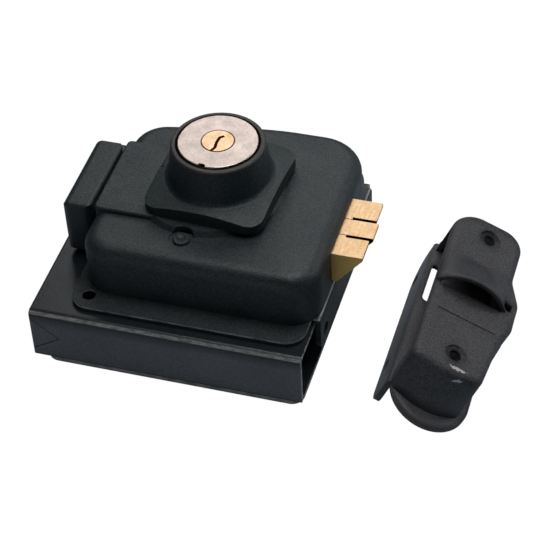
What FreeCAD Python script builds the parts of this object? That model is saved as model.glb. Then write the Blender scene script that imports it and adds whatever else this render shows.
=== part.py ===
"""Surface-mounted gate lock with a bevelled latch, the open box that it is welded on with, and its keeper.

Millimetres, +Z up. The origin is on the surface that the set stands on, under the axis of the key cylinder.
+X is the side that the latch bolt comes out of. The pull handle is on the -X side.
"""
import FreeCAD, Part
import math
import os
from FreeCAD import Vector

os.makedirs("parts", exist_ok=True)

# Making of the solids: how far a cutter runs past a face, and how deep joined forms reach into each other.
overcut = 1.0
root = 0.5
fine_edge = 0.3
match_tolerance = 1e-3

# Weld-on box: a folded pan of sheet, open at its right end, on a flat bottom plate.
box_length = 110.0
box_front = -60.1
box_depth = 105.4
box_pan_height = 22.9
box_sheet = 1.5
box_bend_radius = 2.6
box_left_bend_radius = 1.0
box_left_inner_radius = 0.4
bottom_plate_thickness = 2.0
bottom_plate_inset_left = 5.0
bottom_plate_inset_right = 0.3
bottom_plate_corner = 5.0
tab_length = 11.8
tab_tip_drop = 12.5
tab_top_drop = 3.0
tab_bottom_drop = 20.0
tab_seam = 0.35
tab_seam_depth = 0.9

# Base plate of the lock, with the leg that hangs down in front of the box's open end.
plate_left = -47.5
plate_right = 47.0
plate_half_depth = 54.5
plate_thickness = 2.1
plate_corner = 8.0
plate_back_right_corner = 16.0
leg_face = 50.5
leg_half_depth = 39.5
leg_drop = 15.5
leg_corner = 6.0
leg_gap_to_box = 0.2
leg_bend_radius = 1.8
leg_hole_spacing = 65.0
leg_hole_drop = 8.6
screw_hole_diameter = 5.5
screw_hole_inset = 7.0

# Case: a drawn shell with a raised channel for the slide and a round boss under the cylinder housing.
case_left = -44.8
case_right = 49.7
case_front = -45.2
case_back = 43.8
case_back_left = 33.0
case_bend_x = 8.0
case_height = 22.5
case_wall = 2.0
case_edge_radius = 6.0
case_front_corner = 12.0
case_back_corner = 19.0
case_back_left_corner = 14.0
case_back_bow = 120.0
channel_front = -23.9
channel_back = 17.9
channel_rise = 2.0
channel_edge = 0.9
channel_corner = 2.0
channel_root = 8.0
boss_x = -4.5
boss_radius = 30.0
boss_top_radius = 28.0

# Latch bolt: two brass blocks joined by a web, with a separate middle finger between them.
bolt_front = -19.5
bolt_back = 13.1
bolt_floor = 4.5
bolt_thickness = 14.1
bolt_reach = 12.2
bolt_tip_thickness = 1.5
bolt_bevel_start = 1.9
bolt_web_x = 29.0
bolt_web_thickness = 4.0
finger_front = -7.8
finger_back = 1.1
finger_slot = 1.4
finger_side_gap = 0.35
finger_reach = 13.4
finger_spring_room = 4.0
finger_rod_diameter = 4.0
finger_rod_clearance = 0.2
finger_collar_diameter = 6.4
finger_collar_thickness = 1.2
finger_collar_gap = 0.1
finger_stem_tail = 0.7
slot_reach = 9.4
bolt_window_gap = 0.7
latch_travel = 12.0
finger_travel = 9.0

# Slide plate that joins the handle to the latch bolt.
slide_thickness = 2.0
slide_left = -53.0
slide_right = 42.0
slide_front = -20.0
slide_back = 18.5
slide_neck_front = -18.0
slide_neck_back = 10.0
slide_neck_end = -17.0
slide_tail_start = 29.0
slide_corner = 1.0
slide_rivet_radius = 1.5
slide_rivet_depth = 6.0
slide_rivet_inset_x = 4.0
slide_rivet_inset_y = 5.0
slide_rivet_head = 2.6
slide_rivet_head_height = 0.9
slide_rivet_head_edge = 0.5

# Toothed wheel on the cylinder axis and the rack in the slide plate.
tooth_module = 1.0
wheel_teeth = 24
tooth_addendum = 0.9
tooth_dedendum = 1.2
tooth_backlash = 0.16
pressure_angle = 20.0
window_clearance = 0.9
rack_closing = 2.0
rack_end_margin = 0.2
wheel_hub_radius = 6.8
wheel_hub_bore = 5.6
wheel_hub_height = 3.0
wheel_dog_inner = 3.1
wheel_dog_angle = -98.0
wheel_dog_width = 14.0
wheel_boss_radius = 4.5
wheel_boss_height = 2.5
post_radius = 3.5
spigot_radius = 2.0
running_clearance = 0.05
wheel_floor = 0.5
post_gap = 0.1
riveted_end_setback = 0.3

# Key cylinder.
cylinder_face = 49.0
cylinder_head_diameter = 31.5
cylinder_head_thickness = 2.6
cylinder_head_edge = 0.5
cylinder_body_diameter = 27.0
cylinder_dimple_length = 3.0
cylinder_dimple_width = 1.5
cylinder_dimple_depth = 0.8
cylinder_dimple_radius = 15.2
cylinder_dimple_angle = -97.0
plug_diameter = 12.8
plug_tail = 1.0
plug_proud = 0.1
keyway_width = 1.25
keyway_floor = 4.0
keyway_bends = ((1.2, 2.9), (0.1, 1.9), (-0.2, -1.0), (0.1, -4.2), (-0.7, -5.8))
pin_count = 5
pin_diameter = 2.8
pin_clearance = 0.06
pin_pitch = 3.7
first_pin_depth = 4.6
key_pin_inner = 2.2
key_pin_tip_length = 0.8
key_pin_tip_radius = 0.5
key_pin_bore_play = 0.2
driver_pin_gap = 0.1
driver_pin_length = 3.1
chamber_end = 12.9
pin_spring_wire = 0.3
pin_spring_turns = 4
clip_radius = 7.5
clip_thickness = 0.8
clip_groove_depth = 0.9
clip_play = 0.05
clip_mouth = 4.0
tail_bar_width = 10.0
tail_bar_thickness = 1.5
tail_slot_depth = 2.0
tail_bar_floor_gap = 0.3
cylinder_screw_offset = 10.2
cylinder_screw_shank = 4.0
cylinder_screw_head = 6.2
cylinder_screw_head_height = 2.3
cylinder_screw_depth = 9.0
screw_play = 0.15
screw_end_gap = 0.5
driver_slot_width = 0.8
driver_slot_depth = 0.9
cylinder_opening_radius = 8.0

# Cylinder housing: a bell that flares into a square base.
housing_side = 48.6
housing_corner = 6.5
housing_turn = -3.2
housing_rim_z = 48.5
collar_outer = 18.6
collar_lip = 1.1
cone_foot_radius = 20.2
cone_foot_z = 34.6
flare_mid_radius = 22.6
flare_mid_z = 32.75
flare_out_radius = 36.0
flare_out_z = 29.0
flare_sag = 0.34
housing_bore_clearance = 0.15
housing_head_clearance = 0.35

# Pull handle.
handle_left = -58.2
handle_foot_left = -57.2
handle_right = -45.9
handle_front = -24.6
handle_back = 16.0
handle_bottom = 3.0
handle_top = 26.4
handle_corner = 3.5
handle_left_edge = 3.4
handle_right_edge = 1.6
handle_wall = 2.4
handle_taper_z = 16.0
handle_foot_right = -50.2
handle_ceiling = 15.0
handle_slot_gap = 0.1
handle_screw_x = -49.6
handle_screw_shank = 4.0
handle_screw_head = 7.0
handle_screw_head_height = 2.2
handle_screw_length = 11.0
handle_screw_head_play = 0.2

# Guides, springs and their carriers inside the case.
guide_pin_x = -30.0
guide_pin_spacing = 16.0
guide_pin_y = -4.0
guide_pin_neck = 2.5
guide_pin_shoulder = 4.0
guide_pin_head = 4.6
guide_pin_head_height = 1.4
guide_pin_side_gap = 0.2
guide_pin_play = 0.2
rail_thickness = 2.0
rail_gap = 0.35
rail_top_setback = 1.0
rail_left = 31.0
guide_floor_gap = 0.3
bracket_face = -6.0
bracket_thickness = 2.0
bracket_foot = 9.0
bracket_front = -19.0
bracket_back = 13.0
bracket_height = 16.5
spring_axis_z = 11.6
return_spring_radius = 3.2
return_spring_wire = 1.0
return_spring_turns = 9
return_spring_front = -14.4
return_spring_back = 8.0
spring_end_gap = 0.1
spring_rod_diameter = 3.6
spring_rod_reach = 16.0
spring_rod_head_rim = 1.0
spring_rod_head_height = 1.0
finger_spring_radius = 2.75
finger_spring_wire = 0.55
finger_spring_turns = 6

# Fasteners of the case.
rivet_x = -6.3
rivet_y = 31.4
rivet_shank = 4.0
rivet_neck = 2.3
rivet_head = 3.5
rivet_head_height = 1.1
rivet_head_edge = 0.6
rivet_dimple_radius = 4.0
rivet_dimple_depth = 0.4
rivet_dish_radius = 5.0
rivet_dish_depth = 0.5
case_boss_radius = 4.0
case_screw_hole = 1.7
case_screw_radius = 2.0
case_screw_head = 3.8
case_screw_head_depth = 1.5
case_screw_length = 10.0
case_screw_play = 0.2
countersink_play = 0.1
case_boss_spots = ((-36.0, -35.0), (40.5, -36.0), (40.0, 33.5), (-34.0, 26.5))

# Keeper. Its own axes: u across from the leg's outer face, v along, w out from the surface that it is screwed to.
keeper_foot_x = 73.0
keeper_v0_y = -58.1
keeper_width = 38.0
keeper_leg = 17.0
keeper_sheet = 2.0
keeper_bend_radius = 1.5
keeper_end_radius = 15.9
keeper_end_centre_v = 6.8
keeper_centre_u = 16.9
keeper_flange_back = 94.0
keeper_hip_start = 20.0
keeper_hip_full = 46.0
keeper_hip_end = 60.0
keeper_hip_close = 74.0
keeper_hip_round = 10.0
keeper_leg_start = 3.5
keeper_leg_end = 82.0
keeper_leg_corner = 9.5
keeper_leg_back_corner = 12.0
keeper_leg_hole_spacing = 49.0
keeper_leg_hole_v = 22.5
keeper_leg_hole_w = -12.4
keeper_leg_hole_radius = 2.6
keeper_slit_width = 3.6
keeper_slit_front = 50.0
keeper_slit_back = 70.0
keeper_slit_corner = 1.5
keeper_case_left = 1.0
keeper_case_right_front = 29.6
keeper_case_right = 31.9
keeper_case_hip = 35.7
keeper_case_ear = 30.7
keeper_foot_shoulder = 1.6
keeper_foot_front = -3.8
keeper_top_shoulder = 3.0
keeper_top_front_v = 1.2
keeper_case_bow = 22.0
keeper_case_back = 87.9
keeper_case_front_corner = 3.6
keeper_case_back_left_corner = 11.5
keeper_case_back_right_corner = 9.0
keeper_case_hip_start = 25.0
keeper_case_hip_full = 38.0
keeper_case_hip_end = 52.0
keeper_case_hip_close = 63.0
keeper_case_hip_round = 9.0
keeper_top_front = 23.2
keeper_top_back = 20.2
keeper_top_edge = 1.8
keeper_wall = 2.0
keeper_hole_v = 11.5
keeper_hole_spacing = 66.8
keeper_hole_radius = 2.5
keeper_sink_radius = 4.5
keeper_sink_depth = 0.8
keeper_bush_radius = 4.6
hood_front = 45.4
hood_back = 62.5
hood_left = 1.3
hood_right = 31.1
hood_rise = 7.6
hood_back_left = 3.2
hood_back_right = 28.6
hood_back_rise = 0.4
hood_wall = 1.2
groove_v = 31.1
groove_left = 5.0
groove_right = 29.3
groove_width = 0.5
groove_depth = 0.4
keeper_notch_u = 31.3
keeper_notch_v = 48.4
keeper_notch_size = 3.8
keeper_mouth_front = 10.0
keeper_mouth_back = 78.0
mouth_top_gap = 0.2

# Places that follow from the sizes above.
box_right = leg_face - plate_thickness - leg_gap_to_box
box_left = box_right - box_length
box_back = box_front + box_depth
box_top = bottom_plate_thickness + box_pan_height
plate_top = box_top + plate_thickness
case_top = plate_top + case_height
channel_top = case_top + channel_rise
ceiling = channel_top - case_wall
bolt_bottom = box_top + bolt_floor
bolt_top = bolt_bottom + bolt_thickness
slide_top = bolt_top + slide_thickness
bolt_tip_x = case_right + bolt_reach
finger_tip_x = case_right + finger_reach
finger_back_x = bolt_web_x + bolt_web_thickness + finger_travel + finger_spring_room
face_z = box_top + cylinder_face
pitch_radius = tooth_module * wheel_teeth / 2.0
hub_top = slide_top + wheel_hub_height
spring_z = box_top + spring_axis_z
keeper_lean = math.degrees(math.asin(keeper_leg / math.hypot(keeper_leg, keeper_width)))


def rounded_wire(corners, z=0.0):
    """Closed outline through (x, y, radius) corners, each rounded by a tangent arc."""
    points = [Vector(x, y, z) for x, y, radius in corners]
    edges = []
    ends = []
    count = len(corners)
    for i in range(count):
        here = points[i]
        to_last = (points[i - 1] - here).normalize()
        to_next = (points[(i + 1) % count] - here).normalize()
        radius = corners[i][2]
        half = to_last.getAngle(to_next) / 2.0
        if radius <= 0:
            ends.append((here, here, None))
            continue
        setback = radius / math.tan(half)
        bisector = (to_last + to_next).normalize()
        centre = here + bisector * (radius / math.sin(half))
        ends.append((here + to_last * setback, here + to_next * setback, centre - bisector * radius))
    for i in range(count):
        start, finish, middle = ends[i]
        if middle is not None:
            edges.append(Part.Arc(start, middle, finish).toShape())
        following = ends[(i + 1) % count][0]
        if finish.distanceToPoint(following) > match_tolerance:
            edges.append(Part.LineSegment(finish, following).toShape())
    return Part.Wire(edges)


def prism(corners, z0, z1):
    """Solid of a rounded outline between two heights."""
    return Part.Face(rounded_wire(corners, z0)).extrude(Vector(0, 0, z1 - z0))


def block(x0, x1, y0, y1, z0, z1):
    return Part.makeBox(x1 - x0, y1 - y0, z1 - z0, Vector(x0, y0, z0))


def rod(x, y, z0, z1, radius):
    return Part.makeCylinder(radius, z1 - z0, Vector(x, y, z0), Vector(0, 0, 1))


def rod_along_x(x0, x1, y, z, radius):
    return Part.makeCylinder(radius, x1 - x0, Vector(x0, y, z), Vector(1, 0, 0))


def rod_along_y(x, y0, y1, z, radius):
    return Part.makeCylinder(radius, y1 - y0, Vector(x, y0, z), Vector(0, 1, 0))


def flat_polygon(points):
    """Face through a list of space points."""
    return Part.Face(Part.makePolygon(points + [points[0]]))


def side_profile(points, y0, y1):
    """Solid of an (x, z) polygon between two depths."""
    face = flat_polygon([Vector(x, y0, z) for x, z in points])
    return face.extrude(Vector(0, y1 - y0, 0))


def rounded_rectangle(x0, x1, y0, y1, radius):
    return [(x0, y0, radius), (x1, y0, radius), (x1, y1, radius), (x0, y1, radius)]


def edges_at_height(shape, z):
    """Edges that lie whole at one height."""
    found = []
    for edge in shape.Edges:
        bounds = edge.BoundBox
        if abs(bounds.ZMin - z) < match_tolerance and abs(bounds.ZMax - z) < match_tolerance:
            found.append(edge)
    return found


def edges_on_side(shape, axis, value):
    """Edges that lie whole in one plane across an axis."""
    found = []
    for edge in shape.Edges:
        bounds = edge.BoundBox
        low = getattr(bounds, axis + "Min")
        high = getattr(bounds, axis + "Max")
        if abs(low - value) < match_tolerance and abs(high - value) < match_tolerance:
            found.append(edge)
    return found


def edges_across_x(shape, z):
    """Short edges along X at the foot of an upright sheet."""
    return [edge for edge in edges_at_height(shape, z)
            if edge.BoundBox.YLength < match_tolerance and edge.BoundBox.XLength > match_tolerance]


def one(shapes):
    """All the shapes fused into one."""
    whole = shapes[0]
    for shape in shapes[1:]:
        whole = whole.fuse(shape)
    return whole.removeSplitter()


def less(shape, cutters):
    for cutter in cutters:
        shape = shape.cut(cutter)
    return shape


def coil(radius, wire, turns, length):
    """Helical spring from z = 0 to z = length about the Z axis, as one tube on quarter-turn arcs."""
    rise = length - wire
    quarters = int(turns * 4)

    def at(quarter):
        angle = quarter * math.pi / 2.0
        return Vector(radius * math.cos(angle), radius * math.sin(angle), wire / 2.0 + rise * quarter / quarters)

    edges = [Part.Arc(at(k), at(k + 0.5), at(k + 1)).toShape() for k in range(quarters)]
    path = Part.Wire(edges)
    heading = path.Edges[0].tangentAt(path.Edges[0].FirstParameter)
    ring = Part.Wire([Part.Circle(at(0), heading, wire / 2.0).toShape()])
    return path.makePipeShell([ring], True, False)


def save(name, shape):
    shape.exportStep("parts/" + name + ".step")


def long_edges(shape, z):
    return [edge for edge in edges_at_height(shape, z) if edge.BoundBox.XLength > match_tolerance]


def left_edge(shape, x, z):
    return [edge for edge in edges_at_height(shape, z)
            if edge.BoundBox.XLength < match_tolerance and abs(edge.BoundBox.XMin - x) < match_tolerance]


def weld_box_pan():
    """Top, front, left and back of the box, folded from one sheet, with the left flap's tab let into the front."""
    bottom = bottom_plate_thickness
    inner_top = box_top - box_sheet
    outer = block(box_left, box_right, box_front, box_back, bottom, box_top)
    outer = outer.makeFillet(box_bend_radius, long_edges(outer, box_top))
    outer = outer.makeFillet(box_left_bend_radius, left_edge(outer, box_left, box_top))
    inner = block(box_left + box_sheet, box_right + overcut, box_front + box_sheet, box_back - box_sheet,
                  bottom - overcut, inner_top)
    inner = inner.makeFillet(box_bend_radius - box_sheet, long_edges(inner, inner_top))
    inner = inner.makeFillet(box_left_inner_radius, left_edge(inner, box_left + box_sheet, inner_top))
    pan = outer.cut(inner)
    tip = Vector(box_left + tab_length, box_front, box_top - tab_tip_drop)
    seams = []
    for drop in (tab_top_drop, tab_bottom_drop):
        start = Vector(box_left, box_front, box_top - drop)
        run = tip - start
        slit = Part.makeBox(run.Length, tab_seam_depth + overcut, tab_seam)
        slit.translate(Vector(0, -overcut, -tab_seam / 2.0))
        slit.rotate(Vector(0, 0, 0), Vector(0, 1, 0), -math.degrees(math.atan2(run.z, run.x)))
        slit.translate(start)
        seams.append(slit)
    holes = [rod(x, y, inner_top - overcut, box_top + overcut, screw_hole_diameter / 2.0)
             for x, y in plate_hole_spots()]
    return less(pan, seams + holes)


def weld_box_bottom():
    """Flat plate under the pan, set in from its left end."""
    outline = rounded_rectangle(box_left + bottom_plate_inset_left, box_right - bottom_plate_inset_right,
                                box_front, box_back, bottom_plate_corner)
    return prism(outline, 0.0, bottom_plate_thickness)


def plate_hole_spots():
    x = plate_left + screw_hole_inset
    y = plate_half_depth - screw_hole_inset
    return [(x, -y), (x, y)]


def base_plate():
    """Flat plate under the case, with its leg bent down along the right edge."""
    plate = prism([
        (plate_left, -plate_half_depth, plate_corner),
        (plate_right, -plate_half_depth, plate_corner),
        (plate_right, plate_half_depth, plate_back_right_corner),
        (plate_left, plate_half_depth, plate_corner)], box_top, plate_top)
    bridge = block(plate_right - plate_corner, leg_face, -leg_half_depth, leg_half_depth, box_top, plate_top)
    leg_back = leg_face - plate_thickness
    leg_foot = box_top - leg_drop
    leg = block(leg_back, leg_face, -leg_half_depth, leg_half_depth, leg_foot, plate_top)
    leg = leg.makeFillet(leg_corner, edges_across_x(leg, leg_foot))
    sheet = one([plate, bridge, leg])
    bend = [edge for edge in edges_on_side(sheet, "X", leg_face)
            if abs(edge.BoundBox.ZMin - plate_top) < match_tolerance]
    sheet = sheet.makeFillet(leg_bend_radius, bend)
    low = box_top - overcut
    high = plate_top + overcut
    cutters = [rod(x, y, low, high, screw_hole_diameter / 2.0) for x, y in plate_hole_spots()]
    cutters.append(rod(0, 0, low, high, spigot_radius))
    for x, y in case_boss_spots:
        cutters.append(rod(x, y, low, high, case_screw_radius + case_screw_play))
        cutters.append(Part.makeCone(case_screw_head + countersink_play, case_screw_radius + countersink_play,
                                     case_screw_head_depth, Vector(x, y, box_top)))
    for y in (-rivet_y, rivet_y):
        cutters.append(rod(rivet_x, y, low, high, rivet_neck))
    for y in (-leg_hole_spacing / 2.0, leg_hole_spacing / 2.0):
        cutters.append(rod_along_x(leg_back - overcut, leg_face + overcut, y, box_top - leg_hole_drop,
                                   screw_hole_diameter / 2.0))
    for y in guide_pin_depths():
        cutters.append(rod(guide_pin_x, y, low, high, guide_pin_neck))
    return less(sheet, cutters)


def guide_pin_depths():
    return [guide_pin_y - guide_pin_spacing / 2.0, guide_pin_y + guide_pin_spacing / 2.0]


def case_outline(inset):
    """Plan of the case: three rounded corners and a slightly bowed back, drawn in by an inset."""
    left = case_left + inset
    right = case_right - inset
    front = case_front + inset
    back = case_back - inset
    slope = (case_back - case_back_left) / (case_bend_x - case_left)
    back_left = case_back_left - inset * math.hypot(1.0, slope) + slope * inset
    return [
        (left, front, case_front_corner - inset),
        (right, front, case_front_corner - inset),
        (right, back, case_back_corner - inset),
        (case_bend_x, back, case_back_bow - inset),
        (left, back_left, case_back_left_corner - inset)]


def case_form(inset, bottom):
    """Outer form of the case, or its inner form where the inset is the wall."""
    top = case_top - inset
    body = prism(case_outline(inset), bottom, top)
    body = body.makeFillet(case_edge_radius - inset, edges_at_height(body, top))
    channel = prism(rounded_rectangle(case_left + inset, 0.0, channel_front + inset, channel_back - inset,
                                      max(channel_corner - inset, fine_edge)),
                    top - channel_root, channel_top - inset)
    channel = channel.makeFillet(channel_edge, edges_at_height(channel, channel_top - inset))
    boss = Part.makeCone(boss_radius - inset / 2.0, boss_top_radius - inset / 2.0, channel_rise + root,
                         Vector(boss_x, 0, top - root))
    return one([body, channel, boss])


def case_shell():
    """Case with its openings for the bolt, the slide, the cylinder and the two rivets."""
    inside = case_form(case_wall, plate_top - overcut)
    shell = case_form(0.0, plate_top).cut(inside)
    bosses = [rod(x, y, plate_top, case_top - root, case_boss_radius).common(inside) for x, y in case_boss_spots]
    shell = one([shell] + bosses)
    gap = bolt_window_gap
    side_depth = case_wall + case_edge_radius
    high = channel_top + overcut
    cutters = [
        block(case_right - side_depth, case_right + overcut, bolt_front - gap, bolt_back + gap,
              bolt_bottom - gap, bolt_top + gap),
        block(case_left - overcut, case_left + side_depth, slide_neck_front - gap, slide_neck_back + gap,
              bolt_top - gap, slide_top + gap),
        rod(0, 0, case_top - case_wall - overcut, high, cylinder_opening_radius)]
    for side in (-1, 1):
        cutters.append(rod(side * cylinder_screw_offset, 0, ceiling - overcut, high,
                           cylinder_screw_shank / 2.0 + screw_play))
    for y in (-rivet_y, rivet_y):
        cutters.append(rod(rivet_x, y, case_top - case_wall - overcut, high, rivet_neck))
        cutters.append(rod(rivet_x, y, case_top - rivet_dish_depth, high, rivet_dish_radius))
    for x, y in case_boss_spots:
        cutters.append(rod(x, y, plate_top - overcut, plate_top + case_screw_length + overcut, case_screw_hole))
    return less(shell, cutters)


def case_rivets():
    """Shouldered posts that tie the case to the base plate, headed over on top of the case."""
    posts = []
    seat = case_top - rivet_dish_depth
    head_top = seat + rivet_head_height
    for y in (-rivet_y, rivet_y):
        shank = rod(rivet_x, y, plate_top, case_top - case_wall, rivet_shank)
        neck = rod(rivet_x, y, box_top + riveted_end_setback, seat, rivet_neck)
        head = rod(rivet_x, y, seat, head_top, rivet_head)
        head = head.makeFillet(rivet_head_edge, edges_at_height(head, head_top))
        dimple = Part.makeSphere(rivet_dimple_radius,
                                 Vector(rivet_x, y, head_top + rivet_dimple_radius - rivet_dimple_depth))
        posts.append(one([shank, neck, head]).cut(dimple))
    return Part.makeCompound(posts)


def driver_slot(x, y, head_radius, z0, z1):
    """Slot across a screw's head, along X."""
    reach = head_radius + overcut
    return block(x - reach, x + reach, y - driver_slot_width / 2.0, y + driver_slot_width / 2.0, z0, z1)


def case_screws():
    """Countersunk screws from under the base plate into the case's corner bosses."""
    screws = []
    for x, y in case_boss_spots:
        head = Part.makeCone(case_screw_head, case_screw_radius, case_screw_head_depth, Vector(x, y, box_top))
        shank = rod(x, y, box_top, plate_top, case_screw_radius)
        thread = rod(x, y, plate_top, plate_top + case_screw_length, case_screw_hole)
        slot = driver_slot(x, y, case_screw_head, box_top - overcut, box_top + driver_slot_depth)
        screws.append(one([head, shank, thread]).cut(slot))
    return Part.makeCompound(screws)


def latch_bolt():
    """Two brass blocks with bevelled undersides, joined by a web that the finger's rod runs through."""
    bevel_x = case_right + bolt_bevel_start
    side = [
        (bolt_web_x, bolt_bottom),
        (bevel_x, bolt_bottom),
        (bolt_tip_x, bolt_top - bolt_tip_thickness),
        (bolt_tip_x, bolt_top),
        (bolt_web_x, bolt_top)]
    whole = side_profile(side, bolt_front, bolt_back)
    low = bolt_bottom - overcut
    high = bolt_top + overcut
    tip = bolt_tip_x + overcut
    web_face = bolt_web_x + bolt_web_thickness
    slot_start = bolt_tip_x - slot_reach
    middle = block(web_face, tip, finger_front - finger_side_gap, finger_back + finger_side_gap, low, high)
    slots = [block(slot_start, tip, finger_front - finger_slot, finger_front, low, high),
             block(slot_start, tip, finger_back, finger_back + finger_slot, low, high)]
    rod_y = (finger_front + finger_back) / 2.0
    bore = rod_along_x(bolt_web_x - overcut, web_face + overcut, rod_y, spring_z,
                       finger_rod_diameter / 2.0 + finger_rod_clearance)
    holes = [rod(x, y, bolt_top - slide_rivet_depth, high, slide_rivet_radius) for x, y in slide_rivet_spots()]
    return less(whole, [middle] + slots + [bore] + holes)


def slide_rivet_spots():
    x = slide_right - slide_rivet_inset_x
    return [(x, bolt_front + slide_rivet_inset_y), (x, bolt_back - slide_rivet_inset_y)]


def deadlock_finger():
    """Middle finger of the bolt with its rod and the collar that stops it against the web."""
    bevel_x = case_right + bolt_bevel_start + (finger_reach - bolt_reach)
    side = [
        (finger_back_x, bolt_bottom),
        (bevel_x, bolt_bottom),
        (finger_tip_x, bolt_top - bolt_tip_thickness),
        (finger_tip_x, bolt_top),
        (finger_back_x, bolt_top)]
    body = side_profile(side, finger_front, finger_back)
    rod_y = (finger_front + finger_back) / 2.0
    collar_face = bolt_web_x - finger_collar_gap
    collar_back = collar_face - finger_collar_thickness
    stem = rod_along_x(collar_back - finger_stem_tail, finger_back_x, rod_y, spring_z, finger_rod_diameter / 2.0)
    collar = rod_along_x(collar_back, collar_face, rod_y, spring_z, finger_collar_diameter / 2.0)
    return one([body, stem, collar])


def finger_spring():
    start = bolt_web_x + bolt_web_thickness
    spring = coil(finger_spring_radius, finger_spring_wire, finger_spring_turns,
                  finger_back_x - spring_end_gap - start)
    spring.rotate(Vector(0, 0, 0), Vector(0, 1, 0), 90)
    spring.translate(Vector(start, (finger_front + finger_back) / 2.0, spring_z))
    return spring


def return_springs():
    springs = []
    for y in (return_spring_front, return_spring_back):
        spring = coil(return_spring_radius, return_spring_wire, return_spring_turns,
                      bolt_web_x - spring_end_gap - bracket_face)
        spring.rotate(Vector(0, 0, 0), Vector(0, 1, 0), 90)
        spring.translate(Vector(bracket_face, y, spring_z))
        springs.append(spring)
    return Part.makeCompound(springs)


def spring_bracket():
    """Upright plate on the base plate that the return springs push against."""
    upright = block(bracket_face - bracket_thickness, bracket_face, bracket_front, bracket_back,
                    plate_top, box_top + bracket_height)
    foot = block(bracket_face - bracket_thickness - bracket_foot, bracket_face, bracket_front, bracket_back,
                 plate_top, plate_top + bracket_thickness)
    holes = [rod_along_x(bracket_face - bracket_thickness - overcut, bracket_face + overcut, y, spring_z,
                         spring_rod_diameter / 2.0) for y in (return_spring_front, return_spring_back)]
    return less(one([upright, foot]), holes)


def spring_rods():
    """Pins headed over in the bracket that keep the return springs straight."""
    rods = []
    back = bracket_face - bracket_thickness
    radius = spring_rod_diameter / 2.0
    for y in (return_spring_front, return_spring_back):
        pin = rod_along_x(back, bracket_face + spring_rod_reach, y, spring_z, radius)
        head = rod_along_x(back - spring_rod_head_height, back, y, spring_z, radius + spring_rod_head_rim)
        rods.append(one([pin, head]))
    return Part.makeCompound(rods)


def bolt_guide():
    """Trough on the base plate that the latch bolt slides in."""
    right = case_right - case_wall - rail_gap
    floor = block(rail_left, right, bolt_front - rail_gap - rail_thickness, bolt_back + rail_gap + rail_thickness,
                  plate_top, bolt_bottom - guide_floor_gap)
    rail_top = bolt_top - rail_top_setback
    front = block(rail_left, right, bolt_front - rail_gap - rail_thickness, bolt_front - rail_gap,
                  plate_top, rail_top)
    back = block(rail_left, right, bolt_back + rail_gap, bolt_back + rail_gap + rail_thickness,
                 plate_top, rail_top)
    return one([floor, front, back])


def tooth_flank(base_radius, radius):
    """Involute angle of a flank point at a radius."""
    if radius <= base_radius:
        return 0.0
    roll = math.acos(base_radius / radius)
    return math.tan(roll) - roll


def wheel_outline(z):
    """Wire of the toothed wheel with a tooth gap on the -Y side for the rack's tooth."""
    base_radius = pitch_radius * math.cos(math.radians(pressure_angle))
    tip_radius = pitch_radius + tooth_addendum * tooth_module
    root_radius = pitch_radius - tooth_dedendum * tooth_module
    half_tooth = (math.pi * tooth_module / 2.0 - tooth_backlash) / (2.0 * pitch_radius)
    half_at_pitch = half_tooth + tooth_flank(base_radius, pitch_radius)
    flank_radii = [max(base_radius, root_radius) + (tip_radius - max(base_radius, root_radius)) * k / 3.0
                   for k in range(4)]
    step = 2.0 * math.pi / wheel_teeth
    points = []
    for tooth in range(wheel_teeth):
        centre = -math.pi / 2.0 + (tooth + 0.5) * step
        flank = [(root_radius, half_at_pitch)]
        flank += [(radius, half_at_pitch - tooth_flank(base_radius, radius)) for radius in flank_radii]
        rising = [(radius, centre - half) for radius, half in flank]
        falling = [(radius, centre + half) for radius, half in reversed(flank)]
        points += [Vector(radius * math.cos(a), radius * math.sin(a), z) for radius, a in rising + falling]
    return Part.makePolygon(points + [points[0]])


def rack_outline(z):
    """Wire of the window's toothed edge, closed well inside the window."""
    pitch = math.pi * tooth_module
    tip_y = -pitch_radius + tooth_addendum * tooth_module
    root_y = -pitch_radius - tooth_dedendum * tooth_module
    lean = math.tan(math.radians(pressure_angle))
    half_pitch_width = pitch / 4.0 - tooth_backlash / 4.0
    half_tip = half_pitch_width - (tip_y + pitch_radius) * lean
    half_root = half_pitch_width + (-pitch_radius - root_y) * lean
    left, right = window_ends()
    closing_y = tip_y + rack_closing
    points = [Vector(left, closing_y, z), Vector(left, root_y, z)]
    first = math.ceil((left + half_root + rack_end_margin) / pitch)
    last = math.floor((right - half_root - rack_end_margin) / pitch)
    for tooth in range(first, last + 1):
        x = tooth * pitch
        points += [
            Vector(x - half_root, root_y, z),
            Vector(x - half_tip, tip_y, z),
            Vector(x + half_tip, tip_y, z),
            Vector(x + half_root, root_y, z)]
    points += [Vector(right, root_y, z), Vector(right, closing_y, z)]
    return Part.makePolygon(points + [points[0]])


def window_ends():
    reach = pitch_radius + tooth_addendum * tooth_module + window_clearance
    return -reach, reach + latch_travel


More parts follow.
